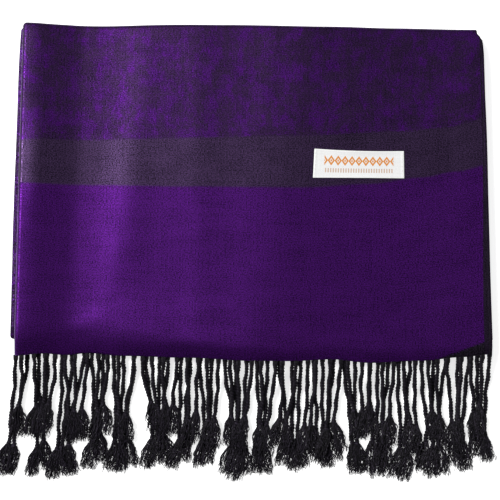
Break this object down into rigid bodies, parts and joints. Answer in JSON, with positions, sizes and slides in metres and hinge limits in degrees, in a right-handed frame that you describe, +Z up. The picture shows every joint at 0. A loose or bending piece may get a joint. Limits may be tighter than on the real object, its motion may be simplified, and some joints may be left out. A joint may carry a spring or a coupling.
{
  "type": "folded fringed shawl",
  "caption": "Long fringed shawl in purple silky cloth with a mottled woven field and a dark band, folded flat on a surface with its twisted-cord fringe out in front.",
  "frame": {"origin": "on the surface the shawl lies on, under the middle of the whole outline, fringe included", "axes": "+X across the folded shawl towards its right edge, +Y from the fringe towards the back fold, +Z up"},
  "size_m": [0.3614, 0.3442, 0.0139],
  "materials": {
    "shawl_cloth": "silky twill with a soft sheen, a mottled woven field and a dark band",
    "shawl_underside": "silky twill, darker on its reverse",
    "label_tape": "woven satin tape with a small orange ornament",
    "fringe_cord": "matt twisted yarn, nearly black"
  },
  "bodies": {
    "root": {"folded_layers": "shawl_underside", "lower_leaf": "shawl_underside", "upper_leaf": "shawl_cloth", "label": "label_tape", "fringe_lower": "fringe_cord", "fringe_upper": "fringe_cord"}
  },
  "joints": []
}
